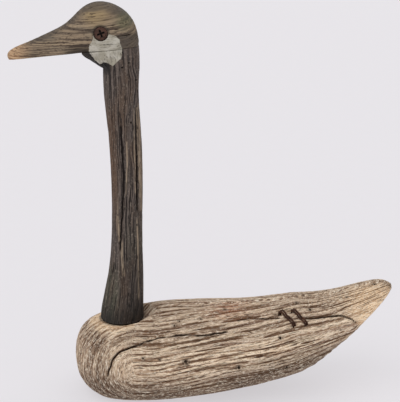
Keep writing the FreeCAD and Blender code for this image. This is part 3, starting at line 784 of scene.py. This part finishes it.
def build_head():
    """The head and bill: rings along the x axis with a flat underside."""
    tree = surface_of(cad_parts["head"])
    xs = np.arange(-188.7, -64.5, 0.2)
    flat = np.zeros_like(xs)
    floor = seam_z(xs)
    top = cast(tree, columns(xs, flat, flat + 460), columns(xs, flat, flat + 300))[:, 2]
    corner = half_widths(tree, xs, floor + 0.05, 60)
    middle = floor + 0.45 * (top - floor)
    side = half_widths(tree, xs, middle, 60)
    in_well = np.abs(xs - EYE_X) < 8.2
    side = np.interp(xs, xs[~in_well], side[~in_well])
    stations = even_stations(xs, 0.8 * top + side, HEAD_RINGS)
    floor, top, corner, middle, side = (np.interp(stations, xs, v) for v in (floor, top, corner, middle, side))
    # Each ring goes over the head from one lower corner to the other, and back along the seam's plane.
    low_angle = np.arctan2((floor - middle) / (top - middle), corner / side)
    share = np.linspace(0, 1, HEAD_OVER)
    angles = low_angle[:, None] + (math.pi - 2 * low_angle[:, None]) * share
    arms = directions(
        columns(0 * angles, side[:, None] * np.cos(angles), (top - middle)[:, None] * np.sin(angles))
    )
    centres = columns(stations, 0 * stations, middle)[:, None]
    hits = cast_in(tree, centres, arms, 80)
    from_eye = np.hypot(hits[..., 0] - EYE_X, hits[..., 2] - EYE_Z)
    radius = np.linalg.norm(hits - centres, axis=2)
    radius = mended(radius, np.isnan(radius) | ((from_eye < 8.0) & (np.abs(hits[..., 1]) > 2.5)))
    over = centres + arms * radius[..., None]
    for column, sign in ((0, 1), (-1, -1)):
        over[:, column] = columns(stations, sign * (corner - 0.25), floor)
    across = np.linspace(-1, 1, HEAD_UNDER + 2)[1:-1]
    under = columns(
        np.broadcast_to(stations[:, None], (HEAD_RINGS, HEAD_UNDER)), (corner - 0.25)[:, None] * across,
        np.broadcast_to(floor[:, None], (HEAD_RINGS, HEAD_UNDER)),
    )
    rings, ends = capped(
        np.concatenate([over, under], axis=1), (-1.9, 0, 0), (0.6, 0, 0),
        (0.97, 0.9, 0.8, 0.65, 0.5, 0.3, 0.12), (0.95, 0.8, 0.55, 0.25),
    )
    normals = grid_normals(rings, ends)
    points, outward = rings.reshape(-1, 3), normals.reshape(-1, 3)
    x, y, z = points.T
    offset, made_of = painted_wood(HEAD_WOOD, rings, HEAD_CRACKS, 0.4, (0.15, 0.09, 0.3))
    from_eye = np.hypot(x - EYE_X, z - EYE_Z)
    # Calmer round the eye, at the seam, at the tip of the bill and on the crown.
    offset *= 0.25 + 0.75 * step(7.2, 10, from_eye)
    above_seam = z - seam_z(x)
    offset *= step(0.0, 1.6, above_seam)
    offset *= 0.35 + 0.65 * step(-188, -176, x)
    offset += 0.9 * step(-73, -66, x) * step(372, 362, z)
    crown = bell(np.hypot((x + 103) / 13, (z - 392) / 9.5), 0, 1, 3)
    smooth = 1 - 0.6 * bell(np.hypot((x + 100) / 26, (z - 393) / 12), 0, 1, 4)
    offset *= smooth
    for label in ("lines", "dark"):
        made_of[label] = made_of[label] * smooth
    orange = 1 - step(-184, -162, x)
    upper = step(0.3, 0.72, outward[:, 2] + 0.12 * HEAD_WOOD.noise[0](points, 9.0))
    dusk = unit(step(-92, -78, x) * (1 - step(372, 376, z)) + 0.95 * upper * step(-182, -160, x))
    olive = bell(np.hypot((x + 76) / 9, (z - 386) / 8), 0, 1, 3)
    bare = made_of["paint"] < 0
    round_eye = 0.9 * step(9.8, 7.4, from_eye)
    jaw = 0.95 * (1 - step(1, 11, above_seam)) * step(-100, -112, x) * (1 - step(-125, -140, x)) * bare
    below_bill = 0.45 * step(0.1, 0.6, -outward[:, 2]) * step(-170, -150, x) * bare
    made_of |= {
        "shade": unit(round_eye + jaw + below_bill), "olive": olive,
        "tone": columns(crown, orange, dusk), "seam": unit(1 - above_seam / 3) * (x > -112),
    }
    made = skin_object("head_wood", rings, normals, ends, offset, made_of)
    tools = [(EYE_WELL, frame_at((EYE_X, 0, EYE_Z), (0, side, 0))) for side in (-1, 1)]
    cut_away(made, [*tools, DOWEL_BORE, *holes_in(made, HEAD_HOLES, PIN_HOLE)])
    return made


# ---------------------------------------------------------------- wire stitches

STITCH_ROUTES = {
    "front_stitch": [
        (-9.9, -1.0, -6), (-10.0, -0.9, -1), (-10.0, -0.6, 0.2), (-8.8, 0.3, 1.2), (-6.2, 0.7, 1.2), (-2.0, 0.0, 1.2),
        (2.5, 0.3, 1.35), (6.5, 0.1, 1.1), (9.8, -0.1, 1.0), (11.1, 0, -0.8), (11.2, 0, -6),
    ],
    "rear_stitch": [
        (-10.6, 0.1, -6), (-10.6, 0.1, -1), (-9.9, 0.1, -0.1), (-8.2, 0.0, 0.9), (-6.2, -0.2, 1.2), (-2, 0.3, 1.25),
        (2, -0.2, 1.2), (6.2, 0.3, 1.3), (9.8, 0.4, 1.0), (11.3, 0.6, -0.8), (11.4, 0.7, -6),
    ],
}
WIRE_RADIUS, WIRE_SIDES, STRAND_SPACING = 0.92, 14, 2.4


def wire_strand(line, sideways, seed):
    """Points and faces of one rough wire along a line."""
    noise = Noise(seed)
    forward = directions(np.gradient(line, axis=0))
    across = directions(sideways - (forward @ sideways)[:, None] * forward)
    up = np.cross(forward, across)
    angle = np.linspace(0, 2 * math.pi, WIRE_SIDES, endpoint=False)
    spokes = across[:, None] * np.cos(angle)[:, None] + up[:, None] * np.sin(angle)[:, None]
    rough = noise((line[:, None] + spokes).reshape(-1, 3), 1.4).reshape(len(line), WIRE_SIDES)
    points = line[:, None] + spokes * (WIRE_RADIUS * (1 + 0.06 * rough))[..., None]
    return points.reshape(-1, 3), tube_faces(len(line), WIRE_SIDES)


def build_stitch(node):
    """One stitch: two wires side by side that go into the wood at both ends."""
    place, axes = stitch_axes(STITCHES[node])
    points, faces = [], []
    for strand in (-1, 1):
        route = np.array(STITCH_ROUTES[node], float)
        swing = 0.06 * np.sin(np.arange(len(route)) * 1.9 + strand)
        route[:, 1] += strand * STRAND_SPACING / 2 + swing
        line, _ = spline(place + route @ axes, 0.45)
        local, sides = wire_strand(line, axes[1], 40 + strand)
        base = sum(len(p) for p in points)
        points.append(local)
        faces += [tuple(base + i for i in side) for side in sides]
    return closed_object(node + "_wire", np.vstack(points), faces)


# ---------------------------------------------------------------- materials


def colour(red, green, blue):
    """A linear colour from 0-255 sRGB values."""
    levels = (c / 255 for c in (red, green, blue))
    return (*(c / 12.92 if c <= 0.04045 else ((c + 0.055) / 1.055) ** 2.4 for c in levels), 1.0)


class Graph:
    """Builds one material; every method returns an output to link onwards."""

    def __init__(self, name):
        self.material = bpy.data.materials.new(name)
        self.material.use_nodes = True
        self.tree = self.material.node_tree
        self.shader = self.tree.nodes["Principled BSDF"]

    def add(self, kind, inputs=(), **settings):
        node = self.tree.nodes.new(kind)
        for key, value in settings.items():
            setattr(node, key, value)
        for key, value in dict(inputs).items():
            self.feed(node.inputs[key], value)
        return node

    def feed(self, socket, value):
        if isinstance(value, bpy.types.NodeSocket):
            self.tree.links.new(value, socket)
        else:
            socket.default_value = value

    def attribute(self, name, vector=False):
        node = self.add("ShaderNodeAttribute", attribute_name=name)
        return node.outputs["Vector" if vector else "Fac"]

    def parts(self, vector):
        return self.add("ShaderNodeSeparateXYZ", {"Vector": vector}).outputs

    def place(self):
        """The place in the object, in metres."""
        return self.add("ShaderNodeTexCoord").outputs["Object"]

    def math(self, operation, a, b=0.0):
        return self.add("ShaderNodeMath", {0: a, 1: b}, operation=operation).outputs[0]

    def times(self, a, b):
        return self.math("MULTIPLY", a, b)

    def mapped(self, vector, **settings):
        return self.add("ShaderNodeMapping", {"Vector": vector, **settings}).outputs[0]

    def noise(self, vector, size, detail, roughness, shift=0.0):
        """Noise, 0 to 1, whose features are about size long in each direction."""
        scaled = self.mapped(vector, Scale=tuple(1 / s for s in size), Location=(shift, shift, shift))
        inputs = {"Vector": scaled, "Scale": 1.0, "Detail": detail, "Roughness": roughness}
        return self.add("ShaderNodeTexNoise", inputs).outputs["Fac"]

    def ramp(self, value, low, high, start=0.0, end=1.0):
        """Value mapped smoothly from low-high to start-end."""
        inputs = {"Value": value, "From Min": low, "From Max": high, "To Min": start, "To Max": end}
        return self.add("ShaderNodeMapRange", inputs, interpolation_type="SMOOTHSTEP").outputs[0]

    def mix(self, share, a, b):
        # Sockets 6 and 7, and output 2, are the colours of a mix node.
        node = self.add("ShaderNodeMix", data_type="RGBA")
        for socket, value in ((node.inputs[0], share), (node.inputs[6], a), (node.inputs[7], b)):
            self.feed(socket, value)
        return node.outputs[2]

    def tones(self, value, low, high, first, second):
        """From the first 0-255 colour to the second as the value goes from low to high."""
        return self.mix(self.ramp(value, low, high), colour(*first), colour(*second))

    def layers(self, base, *over):
        """The base with others laid over it, each a share and an output or a 0-255 colour."""
        for share, shade in over:
            base = self.mix(share, base, colour(*shade) if isinstance(shade, tuple) else shade)
        return base

    def bump(self, height, distance, strength=0.9):
        return self.add("ShaderNodeBump", {"Height": height, "Distance": distance, "Strength": strength}).outputs[0]

    def finish(self, base, roughness, normal, specular, metallic=0.0):
        for label, value in (("Base Color", base), ("Roughness", roughness), ("Normal", normal)):
            self.feed(self.shader.inputs[label], value)
        self.shader.inputs["Specular IOR Level"].default_value = specular
        self.shader.inputs["Metallic"].default_value = metallic
        return self.material


def grooves(g, check_share):
    """The grain of weathered wood and its marks: fibre, streak, check, crack and groove, each 0 to 1."""
    grain = g.attribute("grain", True)
    fibre = g.noise(grain, (14, 0.7, 0.85), 3, 0.6)
    streak = g.ramp(g.math("ADD", g.attribute("lines"), g.times(g.math("SUBTRACT", fibre, 0.5), 3.0)), -1.7, 1.7)
    check = g.ramp(g.noise(grain, (12, 0.9, 1.1), 2, 0.5, shift=19.0), check_share, check_share + 0.08)
    fray = g.noise(grain, (3.0, 0.7, 0.9), 2, 0.5, shift=31.0)
    crack_line = g.ramp(g.math("ADD", g.attribute("gap"), g.times(fray, 0.16)), 0.84, 0.96)
    groove = g.ramp(g.math("ADD", g.attribute("dark"), g.times(fibre, 0.4)), 0.35, 0.95)
    return grain, fibre, streak, check, crack_line, groove


def pale_wood_material():
    g = Graph("weathered pine")
    grain, fibre, streak, check, crack_line, groove = grooves(g, 0.60)
    # The tone's third part, low, is painted shade underneath and a darker band low on the breast.
    warm, grey, low = g.parts(g.attribute("tone", True))
    blotch = g.noise(grain, (70, 11, 16), 3, 0.6, shift=3.0)
    patchy = g.noise(grain, (26, 5, 8), 2, 0.5, shift=11.0)
    band = g.noise(grain, (150, 4.2, 60), 2, 0.5, shift=27.0)
    fleck = g.noise(grain, (4.2, 0.9, 1.1), 2, 0.55, shift=41.0)
    chip = g.noise(grain, (2.2, 0.9, 1.2), 2, 0.5, shift=53.0)
    greyed = g.tones(streak, 0.1, 0.9, (84, 59, 44), (174, 149, 126))
    rusted = g.tones(streak, 0.1, 0.9, (140, 88, 62), (206, 160, 128))
    polished = g.tones(streak, 0.05, 0.8, (198, 159, 120), (250, 219, 180))
    # The darker tones of the painted shade underneath and of the band on the breast.
    lower_shade_tones = g.tones(streak, 0.1, 0.9, (54, 39, 30), (108, 87, 70))
    base = g.layers(
        g.tones(streak, 0.05, 0.9, (163, 133, 107), (252, 230, 201)),
        (g.ramp(fibre, 0.3, 0.7, 0.0, 0.35), (158, 128, 102)),
        (g.ramp(g.attribute("phase"), 0.05, 0.95, 0.0, 0.22), (208, 176, 140)),
        (g.ramp(band, 0.5, 0.7, 0.0, 0.5), (152, 124, 108)),
        (g.ramp(blotch, 0.52, 0.72, 0.0, 0.4), (178, 152, 138)),
        (g.ramp(patchy, 0.56, 0.72, 0.0, 0.35), (162, 152, 128)),
        (g.times(grey, g.ramp(patchy, 0.25, 0.6, 0.4, 0.85)), greyed),
        (g.times(g.attribute("rusty"), g.ramp(patchy, 0.4, 0.6, 0.35, 0.9)), rusted),
        (g.times(warm, 0.85), polished),
        (g.times(low, g.ramp(blotch, 0.3, 0.6, 0.7, 0.95)), lower_shade_tones),
        (g.ramp(fleck, 0.56, 0.64, 0.0, 0.7), (242, 229, 208)),
        (g.ramp(fleck, 0.43, 0.36, 0.0, 0.7), (112, 84, 65)),
        (g.ramp(chip, 0.62, 0.68, 0.0, 0.7), (240, 227, 208)),
        (g.ramp(chip, 0.36, 0.31, 0.0, 0.75), (88, 62, 46)),
        (g.times(groove, 0.75), (100, 72, 52)),
        (g.times(check, g.math("SUBTRACT", 0.85, g.times(warm, 0.7))), (74, 52, 38)),
        (crack_line, (48, 32, 22)),
        # Painted shade in the holes and round the neck's foot.
        (g.times(g.attribute("hole_shade"), 0.85), (52, 36, 26)),
    )
    sunken = g.math("ADD", check, g.times(crack_line, 1.4))
    height = g.math("SUBTRACT", g.times(fibre, 0.5), sunken)
    return g.finish(base, g.ramp(streak, 0.2, 0.8, 0.92, 0.72), g.bump(height, 0.0006), 0.2)


def paint_over(g, base, height, grain, fibre):
    """The grey-white cheek patch, worn at its edge and cracked along the grain."""
    place = g.place()
    worn = g.noise(place, (0.0026, 0.0026, 0.0026), 4, 0.6)
    edge = g.math("ADD", g.attribute("paint"), g.times(g.math("SUBTRACT", worn, 0.5), 3.2))
    chips = g.ramp(g.noise(grain, (5.0, 0.9, 1.8), 3, 0.6, shift=47.0), 0.60, 0.66, 0.0, 0.75)
    share = g.times(g.ramp(edge, -0.05, 0.3), g.math("SUBTRACT", 1.0, chips))
    cloud = g.noise(place, (0.009, 0.009, 0.006), 3, 0.5)
    paint = g.tones(cloud, 0.35, 0.65, (160, 154, 138), (189, 184, 171))
    paint = g.layers(paint, (g.ramp(fibre, 0.45, 0.75, 0.0, 0.35), (150, 143, 128)))
    return g.layers(base, (share, paint)), g.math("ADD", height, g.times(share, 0.55))


def finish_painted(g, base, marks, shades, roughness, relief):
    """The end of the neck's and the head's material: paint, and then cracks, painted shade in the holes, and the
    seam.
    """
    grain, fibre, streak, check, crack_line, _ = marks
    base, height = paint_over(g, base, g.math("SUBTRACT", g.times(fibre, 0.5), check), grain, fibre)
    seam = g.ramp(g.attribute("seam"), 0.86, 1.0, 0.0, 0.75)
    # The second colour is the painted shade in the holes.
    base = g.layers(base, *zip((crack_line, g.attribute("hole_shade"), seam), shades))
    height = g.math("SUBTRACT", height, g.times(crack_line, 1.3))
    return g.finish(base, g.ramp(streak, 0.25, 0.75, *roughness), g.bump(height, relief), 0.3)


def dark_wood_material():
    g = Graph("blackened neck wood")
    marks = grooves(g, 0.61)
    grain, fibre, streak, check, _, groove = marks
    streaked, olive, brown = g.parts(g.attribute("tone", True))
    blotch = g.noise(grain, (46, 7, 9), 3, 0.6, shift=5.0)
    place = g.place()
    speck = g.ramp(g.noise(place, (0.0012, 0.0012, 0.0026), 2, 0.5, shift=23.0), 0.6, 0.68)
    pit = g.ramp(g.noise(place, (0.0014, 0.0014, 0.0035), 2, 0.55, shift=61.0), 0.58, 0.68)
    base = g.layers(
        g.tones(streak, 0.05, 0.95, (52, 45, 41), (112, 100, 92)),
        (g.ramp(fibre, 0.35, 0.7, 0.0, 0.5), (56, 48, 44)),
        (g.ramp(blotch, 0.45, 0.7, 0.0, 0.75), (92, 74, 60)),
        (g.times(brown, 0.55), (104, 78, 58)),
        (g.times(olive, g.ramp(blotch, 0.3, 0.6, 0.6, 0.3)), (70, 72, 54)),
        (g.times(pit, 0.6), (36, 29, 26)),
        (g.times(speck, 0.5), (150, 138, 124)),
        (g.times(streaked, g.ramp(fibre, 0.3, 0.65, 0.9, 0.45)), (172, 152, 128)),
        (g.times(groove, 0.7), (36, 28, 24)),
        (g.times(check, 0.8), (28, 21, 18)),
        (g.times(g.attribute("shade"), g.ramp(blotch, 0.3, 0.6, 1.0, 0.75)), (20, 17, 14)),
    )
    return finish_painted(g, base, marks, ((26, 17, 12), (28, 21, 17), (34, 27, 22)), (0.55, 0.8), 0.0005)


def brown_wood_material():
    g = Graph("worn head wood")
    marks = grooves(g, 0.62)
    grain, fibre, streak, check, _, groove = marks
    crown, orange, dusk = g.parts(g.attribute("tone", True))
    blotch = g.noise(grain, (34, 6, 8), 3, 0.6, shift=5.0)
    base = g.layers(
        g.tones(streak, 0.05, 0.95, (86, 72, 59), (162, 142, 117)),
        (g.ramp(fibre, 0.35, 0.7, 0.0, 0.5), (92, 78, 64)),
        (g.ramp(blotch, 0.5, 0.7, 0.0, 0.45), (118, 108, 92)),
        (g.times(crown, g.ramp(blotch, 0.3, 0.6, 0.4, 0.75)), (160, 137, 98)),
        (g.times(orange, 0.8), g.tones(streak, 0.1, 0.9, (150, 110, 77), (220, 184, 144))),
        (g.times(dusk, g.ramp(blotch, 0.3, 0.6, 0.6, 0.85)), (78, 70, 62)),
        (g.times(g.attribute("olive"), 0.5), (96, 100, 72)),
        (g.times(groove, 0.6), (64, 48, 36)),
        (g.times(check, 0.7), (46, 34, 26)),
        (g.times(g.attribute("shade"), 0.85), (38, 30, 24)),
    )
    return finish_painted(g, base, marks, ((32, 22, 16), (40, 30, 23), (38, 30, 24)), (0.5, 0.75), 0.0004)


def peg_wood_material():
    g = Graph("turned peg wood")
    place = g.place()
    streak = g.noise(place, (0.0016, 0.0016, 0.03), 3, 0.6)
    fibre = g.noise(place, (0.0004, 0.0004, 0.012), 2, 0.5)
    darkening = g.noise(place, (0.012, 0.012, 0.02), 2, 0.5)
    base = g.layers(
        g.tones(streak, 0.35, 0.65, (158, 122, 84), (206, 172, 130)),
        (g.ramp(fibre, 0.5, 0.75, 0.0, 0.6), (116, 84, 56)),
        (g.ramp(darkening, 0.5, 0.7, 0.0, 0.5), (110, 92, 76)),
    )
    return g.finish(base, g.ramp(streak, 0.3, 0.7, 0.55, 0.75), g.bump(fibre, 0.0002, 0.8), 0.3)


def rust_material(name, deep, mid, bright, grain_size, metallic, recess=False):
    """Rough rust; recess adds painted shade in the cross of an eye screw and round the rim of its head."""
    g = Graph(name)
    place = g.place()
    scale = g.noise(place, (grain_size,) * 3, 5, 0.65)
    blotch = g.noise(place, (grain_size * 3.4,) * 3, 3, 0.5, shift=5.0)
    pit = g.ramp(g.noise(place, (grain_size * 0.6,) * 3, 2, 0.5, shift=9.0), 0.56, 0.7)
    base = g.layers(
        g.tones(blotch, 0.38, 0.62, deep, mid),
        (g.ramp(scale, 0.5, 0.72, 0.0, 0.8), bright),
        (g.times(pit, 0.7), (28, 17, 12)),
    )
    if recess:
        base = g.layers(base, (g.times(painted_recess_shade(g, place), 0.9), (18, 10, 8)))
    height = g.math("SUBTRACT", scale, g.times(pit, 0.5))
    return g.finish(base, g.ramp(scale, 0.3, 0.7, 0.5, 0.85), g.bump(height, 0.0003), 0.4, metallic)


def painted_recess_shade(g, place):
    """Painted shade in and around the cross recess of an eye screw, and round the rim of its head."""
    from_eye = g.mapped(place, Location=(-EYE_X * MM, 0, -EYE_Z * MM))
    across, _, up = g.parts(g.mapped(from_eye, Rotation=(0, math.radians(EYE_ROLL), 0)))
    across, up = g.math("ABSOLUTE", across), g.math("ABSOLUTE", up)
    arm = g.ramp(g.math("MINIMUM", across, up), 0.00075, 0.0014, 1.0, 0.0)
    reach = g.ramp(g.math("MAXIMUM", across, up), 0.0031, 0.0043, 1.0, 0.0)
    out = g.math("SQRT", g.math("ADD", g.times(across, across), g.times(up, up)))
    return g.math("MAXIMUM", g.times(arm, reach), g.ramp(out, 0.0056, 0.0068, 0.0, 0.8))


def floor_material():
    g = Graph("pale studio paper")
    tooth = g.noise(g.place(), (0.02, 0.02, 0.02), 3, 0.5)
    creased = (*(c * 0.995 for c in FLOOR_COLOUR[:3]), 1.0)
    base = g.mix(g.ramp(tooth, 0.3, 0.7), FLOOR_COLOUR, creased)
    g.shader.inputs["Emission Color"].default_value = FLOOR_GLOW
    g.shader.inputs["Emission Strength"].default_value = FLOOR_GLOW_STRENGTH
    return g.finish(base, g.ramp(tooth, 0.3, 0.7, 0.88, 0.94), g.bump(tooth, 0.00005, 0.2), 0.1)


# ---------------------------------------------------------------- the object


def dress(made, node, body, material):
    """Puts a material on a new piece, and makes it stand for a CAD node."""
    made.data.materials.clear()
    made.data.materials.append(material)
    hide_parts(node)
    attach(made, body)


RUSTY_WIRE = rust_material("rusty wire", (58, 34, 22), (84, 52, 36), (122, 84, 60), 0.0011, 0.35)
RUSTY_SCREW = rust_material("rusty screw", (58, 37, 28), (86, 58, 46), (118, 86, 70), 0.0013, 0.3, recess=True)

dress(build_body(), "body", "carved_body", pale_wood_material())
dress(build_neck(), "neck", "neck_and_head", dark_wood_material())
dress(build_head(), "head", "neck_and_head", brown_wood_material())
for stitch in STITCHES:
    dress(build_stitch(stitch), stitch, "carved_body", RUSTY_WIRE)

PEG_WOOD = peg_wood_material()
for node, material in (
    ("neck_peg", PEG_WOOD), ("head_dowel", PEG_WOOD),
    ("eye_screw_left", RUSTY_SCREW), ("eye_screw_right", RUSTY_SCREW),
):
    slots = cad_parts[node].material_slots
    for slot in slots:
        slot.material = material
    if not slots:
        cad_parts[node].data.materials.append(material)

# ---------------------------------------------------------------- stage, lights and camera

# A pale floor that glows a little, just under the sole and wide enough to fill the picture.
FLOOR_COLOUR, FLOOR_GLOW, FLOOR_GLOW_STRENGTH = (0.275, 0.268, 0.277, 1.0), (1.0, 0.975, 1.01, 1.0), 0.54
FLOOR_HALF, FLOOR_DROP = 40.0, 0.0002
SKY_COLOUR, SKY_STRENGTH = (0.98, 0.98, 1.0, 1), 0.62
# The photograph's view: where the camera stands, the point it looks at, and its lens in millimetres.
CAMERA_AT, CAMERA_AIM = Vector((-0.0043, -1.3, 0.613)), Vector((-0.0043, 0, 0.203))
SENSOR_WIDTH, LENS = 36, 122.0686567
CLIP_NEAR, CLIP_FAR = 0.05, 200

mesh = bpy.data.meshes.new("studio_floor")
corners = [(x * FLOOR_HALF, y * FLOOR_HALF, 0) for x, y in ((-1, -1), (1, -1), (1, 1), (-1, 1))]
mesh.from_pydata(corners, [], [(0, 1, 2, 3)])
mesh.materials.append(floor_material())
floor = new_object("studio_floor", mesh)
floor.location = (0, 0, -FLOOR_DROP)

world = bpy.data.worlds.new("studio")
world.use_nodes = True
world.node_tree.nodes["Background"].inputs["Color"].default_value = SKY_COLOUR
world.node_tree.nodes["Background"].inputs["Strength"].default_value = SKY_STRENGTH
bpy.context.scene.world = world
bpy.context.scene.view_settings.view_transform = "Standard"


def sun_light(name, towards, strength, spread):
    """A sun that stands in the direction towards, spread degrees wide."""
    lamp = bpy.data.lights.new(name, "SUN")
    lamp.energy, lamp.angle = strength, math.radians(spread)
    made = new_object(name, lamp)
    made.rotation_mode = "QUATERNION"
    made.rotation_quaternion = Vector(towards).to_track_quat("Z", "Y")


sun_light("key", (-0.55, -0.75, 1.0), 1.05, 55)
sun_light("back", (0.6, 0.8, 0.9), 0.35, 60)

camera = new_object("camera", bpy.data.cameras.new("camera"))
camera.location = CAMERA_AT
camera.rotation_mode = "QUATERNION"
camera.rotation_quaternion = (CAMERA_AIM - CAMERA_AT).to_track_quat("-Z", "Y")
camera.data.sensor_width, camera.data.lens = SENSOR_WIDTH, LENS
camera.data.clip_start, camera.data.clip_end = CLIP_NEAR, CLIP_FAR
bpy.context.scene.camera = camera
